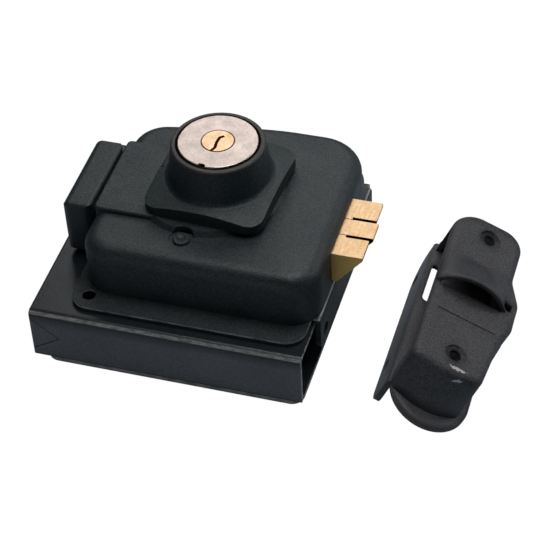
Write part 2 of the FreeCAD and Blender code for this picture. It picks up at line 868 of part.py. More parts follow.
def slide_plate():
    """Flat plate with the rack window, the guide slots and the rivet holes."""
    outline = [
        (slide_left, slide_neck_front, slide_corner),
        (slide_neck_end, slide_neck_front, 0.0),
        (slide_neck_end, slide_front, slide_corner),
        (slide_tail_start, slide_front, slide_corner),
        (slide_tail_start, bolt_front, 0.0),
        (slide_right, bolt_front, slide_corner),
        (slide_right, bolt_back, slide_corner),
        (slide_tail_start, bolt_back, 0.0),
        (slide_tail_start, slide_back, slide_corner),
        (slide_neck_end, slide_back, slide_corner),
        (slide_neck_end, slide_neck_back, 0.0),
        (slide_left, slide_neck_back, slide_corner)]
    low = bolt_top - overcut
    high = slide_top + overcut
    reach = tooth_addendum * tooth_module
    left, right = window_ends()
    window = block(left, right, reach - pitch_radius + rack_closing / 2.0, pitch_radius + reach + window_clearance,
                   low, high)
    teeth = Part.Face(rack_outline(low)).extrude(Vector(0, 0, high - low))
    cutters = [window, teeth]
    half = guide_pin_neck + guide_pin_side_gap
    for y in guide_pin_depths():
        cutters.append(block(guide_pin_x, guide_pin_x + latch_travel, y - half, y + half, low, high))
        for x in (guide_pin_x, guide_pin_x + latch_travel):
            cutters.append(rod(x, y, low, high, half))
        cutters.append(rod(handle_screw_x, y, low, high, handle_screw_shank / 2.0))
    for x, y in slide_rivet_spots():
        cutters.append(rod(x, y, low, high, slide_rivet_radius))
    return less(prism(outline, bolt_top, slide_top), cutters)


def slide_rivets():
    """Rivets that fix the slide plate to the latch bolt."""
    rivets = []
    head_top = slide_top + slide_rivet_head_height
    for x, y in slide_rivet_spots():
        shank = rod(x, y, bolt_top - slide_rivet_depth, slide_top, slide_rivet_radius)
        head = rod(x, y, slide_top, head_top, slide_rivet_head)
        head = head.makeFillet(slide_rivet_head_edge, edges_at_height(head, head_top))
        rivets.append(one([shank, head]))
    return Part.makeCompound(rivets)


def guide_pins():
    """Shouldered pins under and through the slide plate that carry and guide it."""
    pins = []
    head_z = slide_top + guide_pin_play
    for y in guide_pin_depths():
        shoulder = rod(guide_pin_x, y, plate_top, bolt_top - guide_pin_play, guide_pin_shoulder)
        neck = rod(guide_pin_x, y, box_top + riveted_end_setback, head_z + root, guide_pin_neck)
        head = rod(guide_pin_x, y, head_z, head_z + guide_pin_head_height, guide_pin_head)
        pins.append(one([shoulder, neck, head]))
    return Part.makeCompound(pins)


def drive_wheel():
    """Toothed wheel with a hub whose two dogs the cylinder's tail bar picks up."""
    foot = bolt_top - wheel_boss_height
    dog_foot = slide_top - root
    teeth = Part.Face(wheel_outline(bolt_top)).extrude(Vector(0, 0, slide_thickness))
    hub = rod(0, 0, dog_foot, hub_top, wheel_hub_radius)
    boss = rod(0, 0, foot, bolt_top + root, wheel_boss_radius)
    bore = rod(0, 0, slide_top, hub_top + overcut, wheel_hub_bore)
    socket = rod(0, 0, foot - overcut, slide_top - wheel_floor, spigot_radius + running_clearance)
    wheel = less(one([teeth, hub, boss]), [bore, socket])
    dogs = []
    half = math.radians(wheel_dog_width / 2.0)
    reach = wheel_hub_radius / math.cos(half)
    ring = rod(0, 0, dog_foot, hub_top, wheel_hub_bore + root).cut(
        rod(0, 0, dog_foot - overcut, hub_top + overcut, wheel_dog_inner))
    for turn in (0.0, 180.0):
        centre = math.radians(wheel_dog_angle + turn)
        wedge = flat_polygon([
            Vector(0, 0, dog_foot),
            Vector(reach * math.cos(centre - half), reach * math.sin(centre - half), dog_foot),
            Vector(reach * math.cos(centre + half), reach * math.sin(centre + half), dog_foot)])
        dogs.append(ring.common(wedge.extrude(Vector(0, 0, hub_top - dog_foot))))
    return one([wheel] + dogs).cut(socket)


def wheel_post():
    """Post riveted in the base plate, with the spigot that the wheel turns on."""
    shoulder = rod(0, 0, plate_top, bolt_top - wheel_boss_height - post_gap, post_radius)
    spigot = rod(0, 0, box_top + riveted_end_setback, slide_top - wheel_floor - post_gap, spigot_radius)
    return one([shoulder, spigot])


def cylinder_housing():
    """Bell with a lip round the cylinder, flaring into a square base cut from the same turned form."""
    rim = box_top + housing_rim_z
    foot = Vector(cone_foot_radius, 0, box_top + cone_foot_z)
    flare = Vector(flare_mid_radius, 0, box_top + flare_mid_z)
    outer = Vector(flare_out_radius, 0, box_top + flare_out_z)
    sweep_middle = Vector((foot.x + flare.x) / 2.0 - flare_sag, 0, (foot.z + flare.z) / 2.0 - flare_sag)
    bore = cylinder_body_diameter / 2.0 + housing_bore_clearance
    inner_bottom = Vector(bore, 0, channel_top)
    inner_top = Vector(bore, 0, rim)
    collar = Vector(collar_outer, 0, rim - collar_lip)
    lip = Vector(collar_outer - collar_lip, 0, rim)
    lip_middle = Vector(collar_outer - collar_lip * (1 - math.sqrt(0.5)), 0, rim - collar_lip * (1 - math.sqrt(0.5)))
    edges = [
        Part.LineSegment(inner_bottom, inner_top).toShape(),
        Part.LineSegment(inner_top, lip).toShape(),
        Part.Arc(lip, lip_middle, collar).toShape(),
        Part.LineSegment(collar, foot).toShape(),
        Part.Arc(foot, sweep_middle, flare).toShape(),
        Part.LineSegment(flare, outer).toShape(),
        Part.LineSegment(outer, Vector(flare_out_radius, 0, channel_top)).toShape(),
        Part.LineSegment(Vector(flare_out_radius, 0, channel_top), inner_bottom).toShape()]
    turned = Part.Face(Part.Wire(edges)).revolve(Vector(0, 0, 0), Vector(0, 0, 1), 360)
    half = housing_side / 2.0
    square = prism(rounded_rectangle(-half, half, -half, half, housing_corner), channel_top, rim)
    square.rotate(Vector(0, 0, 0), Vector(0, 0, 1), housing_turn)
    seat = rod(0, 0, face_z - cylinder_head_thickness, face_z + overcut,
               cylinder_head_diameter / 2.0 + housing_head_clearance)
    return turned.common(square).cut(seat)


def keyway_form(z0, z1):
    """Bent slot that the key goes in, as short runs of even width with round ends."""
    half = keyway_width / 2.0
    pieces = [rod(x, y, z0, z1, half) for x, y in keyway_bends]
    for (x0, y0), (x1, y1) in zip(keyway_bends[:-1], keyway_bends[1:]):
        start = Vector(x0, y0, z0)
        finish = Vector(x1, y1, z0)
        across = Vector(y0 - y1, x1 - x0, 0).normalize() * half
        run = flat_polygon([start + across, finish + across, finish - across, start - across])
        pieces.append(run.extrude(Vector(0, 0, z1 - z0)))
    return one(pieces)


def pin_heights():
    return [face_z - first_pin_depth - k * pin_pitch for k in range(pin_count)]


def cylinder_body():
    """Fixed body of the cylinder with its head, the bore for the plug and the pin chambers."""
    head = rod(0, 0, face_z - cylinder_head_thickness, face_z, cylinder_head_diameter / 2.0)
    head = head.makeFillet(cylinder_head_edge, edges_at_height(head, face_z))
    body = rod(0, 0, channel_top, face_z - root, cylinder_body_diameter / 2.0)
    low = channel_top - overcut
    high = face_z + overcut
    cutters = [rod(0, 0, low, high, plug_diameter / 2.0 + running_clearance)]
    for z in pin_heights():
        cutters.append(rod_along_y(0, 0, chamber_end, z, pin_diameter / 2.0 + pin_clearance))
    for side in (-1, 1):
        cutters.append(rod(side * cylinder_screw_offset, 0, low, channel_top + cylinder_screw_depth,
                           cylinder_screw_shank / 2.0))
    angle = math.radians(cylinder_dimple_angle)
    length = cylinder_dimple_length / 2.0
    width = cylinder_dimple_width / 2.0
    dimple = prism(rounded_rectangle(-length, length, -width, width, 0.9 * width),
                   face_z - cylinder_dimple_depth, high)
    dimple.rotate(Vector(0, 0, 0), Vector(0, 0, 1), cylinder_dimple_angle - 90.0)
    dimple.translate(Vector(cylinder_dimple_radius * math.cos(angle), cylinder_dimple_radius * math.sin(angle), 0))
    cutters.append(dimple)
    return less(one([head, body]), cutters)


def plug_bottom():
    return channel_top - plug_tail


def clip_bottom():
    return channel_top - clip_play - clip_thickness


def cylinder_plug():
    """Turning plug with its keyway, the pin bores, the clip groove and the slot for the tail bar."""
    bottom = plug_bottom()
    radius = plug_diameter / 2.0
    plug = rod(0, 0, bottom, face_z + plug_proud, radius)
    groove = rod(0, 0, clip_bottom(), channel_top, radius + overcut).cut(
        rod(0, 0, clip_bottom() - overcut, channel_top + overcut, radius - clip_groove_depth))
    cutters = [keyway_form(bottom + keyway_floor, face_z + overcut), groove,
               block(-tail_bar_width / 2.0, tail_bar_width / 2.0, -tail_bar_thickness / 2.0,
                     tail_bar_thickness / 2.0, bottom - overcut, bottom + tail_slot_depth)]
    for z in pin_heights():
        cutters.append(rod_along_y(0, key_pin_inner - key_pin_bore_play, radius + overcut, z,
                                   pin_diameter / 2.0 + pin_clearance))
    return less(plug, cutters)


def key_pins():
    """Pins that stay inside the plug's round as it turns."""
    pins = []
    radius = pin_diameter / 2.0
    end = math.sqrt((plug_diameter / 2.0) ** 2 - radius ** 2) - running_clearance
    for z in pin_heights():
        body = rod_along_y(0, key_pin_inner + key_pin_tip_length, end, z, radius)
        tip = Part.makeCone(key_pin_tip_radius, radius, key_pin_tip_length, Vector(0, key_pin_inner, z),
                            Vector(0, 1, 0))
        pins.append(one([body, tip]))
    return Part.makeCompound(pins)


def driver_pin_start():
    return plug_diameter / 2.0 + driver_pin_gap


def driver_pins():
    start = driver_pin_start()
    return Part.makeCompound([rod_along_y(0, start, start + driver_pin_length, z, pin_diameter / 2.0)
                              for z in pin_heights()])


def pin_springs():
    springs = []
    start = driver_pin_start() + driver_pin_length
    for z in pin_heights():
        spring = coil(pin_diameter / 2.0 - pin_spring_wire, pin_spring_wire, pin_spring_turns, chamber_end - start)
        spring.rotate(Vector(0, 0, 0), Vector(1, 0, 0), -90)
        spring.translate(Vector(0, start, z))
        springs.append(spring)
    return Part.makeCompound(springs)


def plug_clip():
    """Open ring in the plug's groove that holds the plug in the body."""
    low = clip_bottom()
    high = low + clip_thickness
    ring = rod(0, 0, low, high, clip_radius)
    inner = rod(0, 0, low - overcut, high + overcut, plug_diameter / 2.0 - clip_groove_depth)
    mouth = block(0, clip_radius + overcut, -clip_mouth / 2.0, clip_mouth / 2.0, low - overcut, high + overcut)
    return less(ring, [inner, mouth])


def tail_bar():
    """Flat bar from the end of the plug down into the wheel's hub."""
    return block(-tail_bar_width / 2.0, tail_bar_width / 2.0, -tail_bar_thickness / 2.0, tail_bar_thickness / 2.0,
                 slide_top + tail_bar_floor_gap, plug_bottom() + tail_slot_depth)


def cylinder_screws():
    """Screws up through the case's ceiling that hold the cylinder, and with its head the housing."""
    screws = []
    head_foot = ceiling - cylinder_screw_head_height
    for side in (-1, 1):
        x = side * cylinder_screw_offset
        shank = rod(x, 0, ceiling - root, channel_top + cylinder_screw_depth - screw_end_gap,
                    cylinder_screw_shank / 2.0)
        head = rod(x, 0, head_foot, ceiling, cylinder_screw_head / 2.0)
        slot = driver_slot(x, 0, cylinder_screw_head / 2.0, head_foot - overcut, head_foot + driver_slot_depth)
        screws.append(one([shank, head]).cut(slot))
    return Part.makeCompound(screws)


def pull_handle():
    """Hollow block that closes over the end of the slide plate."""
    bottom = box_top + handle_bottom
    top = box_top + handle_top
    head_z = box_top + handle_ceiling
    plan = prism(rounded_rectangle(handle_left, handle_right, handle_front, handle_back, handle_corner),
                 bottom, top + overcut)
    side = side_profile([
        (handle_foot_left, bottom),
        (handle_foot_right, bottom),
        (handle_right, box_top + handle_taper_z),
        (handle_right, top),
        (handle_left, top)], handle_front, handle_back)
    for x, radius in ((handle_left, handle_left_edge), (handle_right, handle_right_edge)):
        side = side.makeFillet(radius, left_edge(side, x, top))
    side = side.makeFillet(handle_right_edge, long_edges(side, top))
    cavity = block(handle_left + handle_wall, handle_foot_right - handle_wall / 2.0, handle_front + handle_wall,
                   handle_back - handle_wall, bottom - overcut, head_z)
    slot = block(slide_left - handle_slot_gap, handle_right + overcut, slide_neck_front - handle_slot_gap,
                 slide_neck_back + handle_slot_gap, bolt_top - handle_slot_gap, slide_top + handle_slot_gap)
    cutters = [cavity, slot]
    for y in guide_pin_depths():
        cutters.append(rod(handle_screw_x, y, head_z - overcut, head_z + handle_screw_length,
                           handle_screw_shank / 2.0))
        cutters.append(rod(handle_screw_x, y, bottom - overcut, head_z,
                           handle_screw_head / 2.0 + handle_screw_head_play))
    return less(plan.common(side), cutters)


def handle_screws():
    """Screws up through the slide plate's end into the handle."""
    screws = []
    head_z = box_top + handle_ceiling
    head_foot = head_z - handle_screw_head_height
    for y in guide_pin_depths():
        shank = rod(handle_screw_x, y, head_z - root, head_z + handle_screw_length - screw_end_gap,
                    handle_screw_shank / 2.0)
        head = rod(handle_screw_x, y, head_foot, head_z, handle_screw_head / 2.0)
        slot = driver_slot(handle_screw_x, y, handle_screw_head / 2.0, head_foot - overcut,
                           head_foot + driver_slot_depth)
        screws.append(one([shank, head]).cut(slot))
    return Part.makeCompound(screws)


def set_keeper(shape):
    """Leans a keeper piece over on the foot of its leg and the right edge of its flange."""
    shape.rotate(Vector(0, 0, 0), Vector(0, 1, 0), keeper_lean)
    lean = math.radians(keeper_lean)
    shape.translate(Vector(keeper_foot_x + keeper_leg * math.sin(lean), keeper_v0_y, keeper_leg * math.cos(lean)))
    return shape


def keeper_plate():
    """Flange that lies on the post, with its leg bent back along the mouth side."""
    left = keeper_centre_u - keeper_end_radius
    right = keeper_centre_u + keeper_end_radius
    front = keeper_end_centre_v - keeper_end_radius
    flange = prism([
        (left, front, keeper_end_radius),
        (right, front, keeper_end_radius),
        (right, keeper_hip_start, keeper_hip_round),
        (keeper_width, keeper_hip_full, keeper_hip_round),
        (keeper_width, keeper_hip_end, keeper_hip_round),
        (right, keeper_hip_close, keeper_hip_round),
        (right, keeper_flange_back, keeper_end_radius),
        (left, keeper_flange_back, keeper_end_radius)], 0.0, keeper_sheet)
    leg = block(0.0, keeper_sheet, keeper_leg_start, keeper_leg_end, -keeper_leg, keeper_sheet)
    for v, radius in ((keeper_leg_start, keeper_leg_corner), (keeper_leg_end, keeper_leg_back_corner)):
        leg = leg.makeFillet(radius, [edge for edge in edges_across_x(leg, -keeper_leg)
                                      if abs(edge.BoundBox.YMin - v) < match_tolerance])
    bend = [edge for edge in edges_on_side(leg, "X", 0.0)
            if abs(edge.BoundBox.ZMin - keeper_sheet) < match_tolerance]
    sheet = one([flange, leg.makeFillet(keeper_bend_radius, bend)])
    low = -overcut
    high = keeper_sheet + overcut
    cutters = [prism(rounded_rectangle(keeper_sheet, keeper_sheet + keeper_slit_width, keeper_slit_front,
                                       keeper_slit_back, keeper_slit_corner), low, high)]
    for v in (keeper_hole_v, keeper_hole_v + keeper_hole_spacing):
        cutters.append(rod(keeper_centre_u, v, low, high, keeper_hole_radius))
    for v in (keeper_leg_hole_v, keeper_leg_hole_v + keeper_leg_hole_spacing):
        cutters.append(rod_along_x(low, high, v, keeper_leg_hole_w, keeper_leg_hole_radius))
    return set_keeper(less(sheet, cutters))


def keeper_outline(inset, z, shoulder, front):
    """Plan of the keeper's cover at one height: a bowed front, a hip on the right and a narrower ear behind."""
    left = keeper_case_left + inset
    right = keeper_case_right - inset
    hip = keeper_case_hip - inset
    ear = keeper_case_ear - inset
    back = keeper_case_back - inset
    return rounded_wire([
        (left, shoulder + inset, keeper_case_front_corner - inset),
        (keeper_centre_u, front + inset, keeper_case_bow),
        (keeper_case_right_front - inset, shoulder + inset, keeper_case_front_corner - inset),
        (right, keeper_case_hip_start, keeper_case_hip_round + inset),
        (hip, keeper_case_hip_full, keeper_case_hip_round - inset),
        (hip, keeper_case_hip_end, keeper_case_hip_round - inset),
        (ear, keeper_case_hip_close, keeper_case_hip_round + inset),
        (ear, back, keeper_case_back_right_corner - inset),
        (left, back, keeper_case_back_left_corner - inset)], z)


def keeper_form(inset):
    """Body of the keeper's cover in its own axes, drawn in by an inset, under a lid that slopes to the hood."""
    low = keeper_sheet - inset
    body = Part.makeLoft([
        keeper_outline(inset, low, keeper_foot_shoulder, keeper_foot_front),
        keeper_outline(inset, keeper_top_front + overcut, keeper_top_shoulder, keeper_top_front_v)], True, True)
    near = 2.0 * keeper_foot_front
    far = keeper_case_back + overcut
    profile = flat_polygon([
        Vector(0, near, low),
        Vector(0, near, lid_height(near) - inset),
        Vector(0, hood_front, keeper_top_back - inset),
        Vector(0, far, keeper_top_back - inset),
        Vector(0, far, low)])
    return body.common(profile.extrude(Vector(keeper_case_hip + overcut, 0, 0)))


def lid_height(v):
    """Height of the sloping part of the lid."""
    share = (v - keeper_top_shoulder) / (hood_front - keeper_top_shoulder)
    return keeper_top_front + (keeper_top_back - keeper_top_front) * share


def hood_section(left, right, rise, v, inset):
    """Arch across the cover at one depth, drawn in along its radius by an inset, on upright sides."""
    centre = (left + right) / 2.0
    half = (right - left) / 2.0
    radius = (half ** 2 + rise ** 2) / (2.0 * rise)
    drop = radius - rise
    half_inside = math.sqrt((radius - inset) ** 2 - drop ** 2)
    low = keeper_top_back - keeper_wall - inset
    foot_left = Vector(centre - half_inside, v, keeper_top_back)
    foot_right = Vector(centre + half_inside, v, keeper_top_back)
    crown = Vector(centre, v, keeper_top_back + rise - inset)
    return Part.Wire([
        Part.LineSegment(Vector(foot_left.x, v, low), foot_left).toShape(),
        Part.Arc(foot_left, crown, foot_right).toShape(),
        Part.LineSegment(foot_right, Vector(foot_right.x, v, low)).toShape(),
        Part.LineSegment(Vector(foot_right.x, v, low), Vector(foot_left.x, v, low)).toShape()])


def hood_form(inset, lip):
    """Hood over the crescent opening: an arch at its lip that falls back to the ear."""
    back_rise = hood_back_rise + inset
    return Part.makeLoft([
        hood_section(hood_left, hood_right, hood_rise, lip, inset),
        hood_section(hood_back_left, hood_back_right, back_rise, hood_back - inset, inset)], True, True)


def keeper_cover():
    """Hollow cover with two screw holes, the hooded crescent opening and the open mouth for the bolt."""
    outer = keeper_form(0.0)
    rim = [edge for edge in outer.Edges
           if edge.BoundBox.ZMin > keeper_top_back - match_tolerance and not lid_crease(edge)]
    outer = outer.makeFillet(keeper_top_edge, rim).fuse(hood_form(0.0, hood_front))
    shell = outer.cut(keeper_form(keeper_wall)).cut(hood_form(hood_wall, hood_front - overcut))
    half_notch = keeper_notch_size / 2.0
    half_groove = groove_width / 2.0
    cutters = [
        block(0.0, keeper_case_left + keeper_wall + root, keeper_mouth_front, keeper_mouth_back,
              keeper_sheet - overcut, keeper_top_back - keeper_wall - mouth_top_gap),
        block(groove_left, groove_right, groove_v - half_groove, groove_v + half_groove,
              lid_height(groove_v) - groove_depth, keeper_top_front),
        block(keeper_notch_u - half_notch, keeper_notch_u + half_notch, keeper_notch_v - half_notch,
              keeper_notch_v + half_notch, keeper_top_back - keeper_wall - overcut, keeper_top_front)]
    for v, top in keeper_holes():
        cutters.append(rod(keeper_centre_u, v, keeper_sheet, top + overcut, keeper_hole_radius))
        cutters.append(rod(keeper_centre_u, v, top - keeper_sink_depth, top + overcut, keeper_sink_radius))
    return set_keeper(less(shell, cutters).removeSplitter())


def lid_crease(edge):
    """True for the crease across the lid where its slope ends."""
    bounds = edge.BoundBox
    return bounds.YLength < match_tolerance and abs(bounds.YMin - hood_front) < match_tolerance


def keeper_holes():
    back = keeper_hole_v + keeper_hole_spacing
    return [(keeper_hole_v, lid_height(keeper_hole_v)), (back, keeper_top_back)]


def keeper_bushes():
    """Tubes inside the cover that take the clamping of its two long screws."""
    bushes = []
    for v, top in keeper_holes():
        tube = rod(keeper_centre_u, v, keeper_sheet, top, keeper_bush_radius).common(keeper_form(keeper_wall))
        bushes.append(tube.cut(rod(keeper_centre_u, v, 0.0, top, keeper_hole_radius)))
    return set_keeper(Part.makeCompound(bushes))


PIECES = {
    "weld_box_pan": weld_box_pan,
    "weld_box_bottom": weld_box_bottom,
    "base_plate": base_plate,
    "case_shell": case_shell,
    "case_rivets": case_rivets,
    "case_screws": case_screws,
    "latch_bolt": latch_bolt,
    "deadlock_finger": deadlock_finger,
    "finger_spring": finger_spring,
    "return_springs": return_springs,
    "spring_bracket": spring_bracket,
    "spring_rods": spring_rods,
    "bolt_guide": bolt_guide,
    "slide_plate": slide_plate,
    "slide_rivets": slide_rivets,
    "guide_pins": guide_pins,
    "drive_wheel": drive_wheel,
    "wheel_post": wheel_post,
    "cylinder_housing": cylinder_housing,
    "cylinder_body": cylinder_body,
    "cylinder_plug": cylinder_plug,
    "key_pins": key_pins,
    "driver_pins": driver_pins,
    "pin_springs": pin_springs,
    "plug_clip": plug_clip,
    "tail_bar": tail_bar,
    "cylinder_screws": cylinder_screws,
    "pull_handle": pull_handle,
    "handle_screws": handle_screws,
    "keeper_plate": keeper_plate,
    "keeper_cover": keeper_cover,
    "keeper_bushes": keeper_bushes,
}

for piece_name, make in PIECES.items():
    piece = make()
    if not piece.isValid() or piece.Volume < 1.0:
        print("bad solid", piece_name, piece.Volume)
    save(piece_name, piece)
    print(piece_name, len(piece.Solids), "solids", round(piece.Volume, 1), "mm3")
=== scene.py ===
"""Door lock on its open weld-on box, with its keeper: finishes, studio and camera. Sizes are in mm."""
import math

import bpy
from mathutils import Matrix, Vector


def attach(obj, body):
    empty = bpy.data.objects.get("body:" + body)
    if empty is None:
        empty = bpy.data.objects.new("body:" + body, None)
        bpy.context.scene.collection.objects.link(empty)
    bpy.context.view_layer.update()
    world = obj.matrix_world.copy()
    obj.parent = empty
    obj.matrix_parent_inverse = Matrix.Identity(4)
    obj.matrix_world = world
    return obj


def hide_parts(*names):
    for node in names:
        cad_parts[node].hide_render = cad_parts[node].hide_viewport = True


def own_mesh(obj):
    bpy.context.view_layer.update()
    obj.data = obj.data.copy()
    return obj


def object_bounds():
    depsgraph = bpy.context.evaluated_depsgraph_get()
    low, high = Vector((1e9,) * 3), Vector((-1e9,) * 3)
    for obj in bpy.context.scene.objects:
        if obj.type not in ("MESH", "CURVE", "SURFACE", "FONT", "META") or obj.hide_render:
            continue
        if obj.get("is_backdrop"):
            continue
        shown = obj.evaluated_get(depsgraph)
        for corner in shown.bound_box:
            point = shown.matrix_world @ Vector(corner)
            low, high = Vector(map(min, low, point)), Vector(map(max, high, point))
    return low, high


MM = 0.001

# Places on the object that the finishes refer to, as the frame has them
BOX_TOP = 24.9
BOX_RIGHT_END = 48.2
PAN_FOOT = 2.0
PLATE_TOP = 27.0
COLLAR_TOP = 73.4
COLLAR_RADIUS = 18.6
COLLAR_LIP = 1.1
# a small hole in the housing, coloured dark as painted shade
SHADED_CAST_HOLE = (-23.4, -1.2)
SHADED_CAST_HOLE_RADIUS = 0.5
PLUG_RADIUS = 6.4
LATCH_SLOT_START = 52.5
LATCH_SLOTS = ((-9.2, -7.8), (1.1, 2.5))

# Marks that are centred on a place, each with its half size along every axis
SCRAPES = (((106.9, -53.5, 28.7), (4.4, 0.9, 2.4)), ((107.2, -56.7, 25.9), (2.0, 2.0, 0.85)))
# painted shade in a small notch on the cylinder's face
FACE_NOTCH = ((-1.85, -15.2, 73.6), (1.75, 1.1, 1.8))

# Finishes as linear colours
COAT_DARK = (0.005, 0.0085, 0.010)
COAT_LIGHT = (0.0175, 0.0275, 0.0325)
HOUSING_DARK = (0.001, 0.005, 0.0065)
HOUSING_LIGHT = (0.009, 0.021, 0.025)
KEEPER_DARK = (0.016, 0.0165, 0.020)
KEEPER_LIGHT = (0.058, 0.059, 0.066)
KEEPER_FOOT = (0.115, 0.115, 0.13)
RIM_WORN = (0.037, 0.028, 0.022)
# painted highlight: pale colour standing in for light caught on the base plate's top edge
EDGE_HIGHLIGHT = (0.34, 0.35, 0.36)
SCRATCH = (0.5, 0.49, 0.5)
PAINT_DARK = (0.005, 0.0085, 0.011)
PAINT_LIGHT = (0.013, 0.019, 0.023)
# painted light: the upright sides of the box are coloured paler as if lit
PAINTED_SIDE_LIGHT = (0.2, 0.2, 0.215)
# painted shade: dark colour put into slots, joints, holes and seams
PAINTED_SHADE_DARK = (0.008, 0.007, 0.006)
# bare cut metal, also the colour of the painted highlights on the bends and the bottom plate's edge
CUT_EDGE_AND_HIGHLIGHT = (0.34, 0.34, 0.35)
BRASS_LIGHT = (0.93, 0.69, 0.45)
BRASS_DARK = (0.62, 0.39, 0.19)
# painted light: the upright sides of the brass are coloured brighter as if lit
BRASS_SIDE_LIGHT = (1.0, 0.66, 0.2)
NICKEL_LIGHT = (0.63, 0.535, 0.485)
NICKEL_DARK = (0.37, 0.31, 0.28)
PLUG_LIGHT = (0.95, 0.64, 0.42)
PLUG_DARK = (0.55, 0.33, 0.17)
ZINC_LIGHT = (0.66, 0.66, 0.67)
ZINC_DARK = (0.44, 0.44, 0.45)
WIRE_LIGHT = (0.48, 0.48, 0.5)
WIRE_DARK = (0.28, 0.28, 0.29)
FLOOR_COLOUR = (0.41, 0.48, 0.55)
FLOOR_LIGHT = (0.44, 0.52, 0.59)

# Powder coat: spots of its patterns, relief, shine, worn places and a painted highlight on edges
COAT_CLOUD = 14.0
COAT_SPECKLE = 0.7
COAT_SPECKLE_SHARE = 0.7
COAT_GRAIN = 0.8
COAT_GRAIN_DEPTH = 0.115
COAT_WAVE = 3.0
COAT_WAVE_DEPTH = 0.1
COAT_GLOSS = (0.43, 0.57)
COAT_ROUGHNESS = (0.46, 0.58)
# where the painted highlight on the base plate's top edge lies
HIGHLIGHT_EDGE_FACING = (0.85, 0.95)
HIGHLIGHT_EDGE_DEPTH = (0.75, 0.6)
HIGHLIGHT_EDGE_PATCH = 6.0
RIM_INSET = 0.8
RIM_BLUR = 0.3
RIM_DEPTH = (0.9, 0.3)
RIM_PATCH = 5.0
FOOT_FADE = (5.0, 20.0)
FOOT_SHARE = 0.75
SCRAPE_FRAY = 1.2
KEEPER_EDGE = 6.0

# Paint of the box: spots of its patterns, relief, shine, polished bends, bare edges, painted light on its
# sides, painted highlights and painted shade in the seam
PAINT_CLOUD = 22.0
PAINT_GRAIN = 0.6
PAINT_DRAWN = (0.5, 1.0, 1.0)
PAINT_GRAIN_SHARE = 0.7
PAINT_PEEL = 0.9
PAINT_PEEL_DEPTH = 0.05
SHEET_WAVE = 5.0
SHEET_WAVE_DEPTH = 0.12
PAINT_GLOSS = 0.42
PAINT_ROUGHNESS = (0.28, 0.33)
# painted light on the upright sides, fading to painted shade just under the top bend
SIDE_LIGHT_FACING = (0.2, 0.5)
SIDE_LIGHT_FADE = (6.5, 2.0)
SIDE_LIGHT_TONE = (0.3, 0.8)
# band of the bend: a painted highlight in its colour and a smoother finish
BEND_FACING = (0.5, 0.78)
BEND_BLUR = 0.12
BEND_HIGHLIGHT_STREAK = 0.9
BEND_HIGHLIGHT_STRETCH = (0.3, 1.0, 1.0)
BEND_POLISH = 0.1
SAWN_END = (0.12, 0.04)
SAWN_PATCH = 2.0
# painted shadow in the seam between the pan and the bottom plate
SEAM_SHADE_HEIGHT = (0.3, 0.5)
BOTTOM_CLOUD = 9.0
# lighter edge of the bottom plate: bare metal and a painted highlight
BOTTOM_EDGE_FACING = (-0.6, 0.9)
BOTTOM_EDGE_PATCH = 5.0
BOTTOM_ROUGHNESS = (0.36, 0.46)

# Brass of the latch: spots of its patterns, relief, shine, painted light on its sides and painted shade in
# its slots
BRASS_MOTTLE = 1.3
BRASS_MARKS = 0.5
BRASS_SAWN = (1.0, 0.12, 0.5)
BRASS_SKIN = 5.0
BRASS_DENTS = 1.5
BRASS_RELIEF = 0.08
BRASS_SIDE_LIGHT_FACING = (0.3, 0.7)
BRASS_ROUGHNESS = (0.42, 0.56)
# where the painted shade in the latch slots starts and ends
SLOT_EDGE = (0.06, 0.02)
SLOT_END = 0.1

# Turned faces and plating: spots of the patterns, relief and painted shade in the joints
TURNED_TARNISH = 4.0
TURNED_SPECKLE = 0.7
RING_DEPTH = 0.02
SPECKLE_DEPTH = 0.03
SHADED_JOINT_WIDTH = (0.2, 0.36)
SHADED_JOINT_SHARE = 0.92
NICKEL_RING = 0.3
PLUG_RING = 0.2
TURNED_ROUGHNESS = 0.3
TARNISH_DULL = 0.08
ZINC_CLOUD = 6.0
ZINC_ROUGHNESS = 0.3
WIRE_CLOUD = 2.0
WIRE_ROUGHNESS = 0.28
PLATING_DULL = 0.12
PLATING_GRAIN = 0.4
PLATING_DEPTH = 0.02

# Rounding of the edges of each kind of piece
HOUSING_SOFT = 0.7
SHEET_SOFT = 0.35
BLOCK_SOFT = 0.2
EDGE_ANGLE = 30.0
EDGE_STEPS = 3
WELD_GAP = 0.002

# Camera of the photograph
CAMERA_PLACE = (204.8, -551.4, 559.6)
CAMERA_TURN = (46.5138, 2.3762, 16.3669)
FOCAL_LENGTH = 131.055
SENSOR_WIDTH = 36.0
NEAREST = 10.0

# Studio lights: place, aimed point, width, depth and power in watts
LIGHTS = {
    "back_box": ((-30.0, 240.0, 265.0), (10.0, 10.0, 45.0), 330.0, 200.0, 0.36),
    "top_box": ((60.0, 40.0, 820.0), (20.0, 0.0, 30.0), 420.0, 420.0, 2.9),
    "right_fill": ((430.0, 260.0, 300.0), (40.0, -10.0, 20.0), 300.0, 260.0, 0.66),
    "front_fill": ((-120.0, -780.0, 160.0), (10.0, -20.0, 20.0), 600.0, 300.0, 0.36),
}
WORLD_LIGHT = 0.02
BACKDROP_GLOW = 1.05
FLOOR_SIZE = 6000.0
FLOOR_CLOUD = 40.0
FLOOR_ROUGHNESS = 0.9
FLOOR_GLOW_SHARE = 0.95


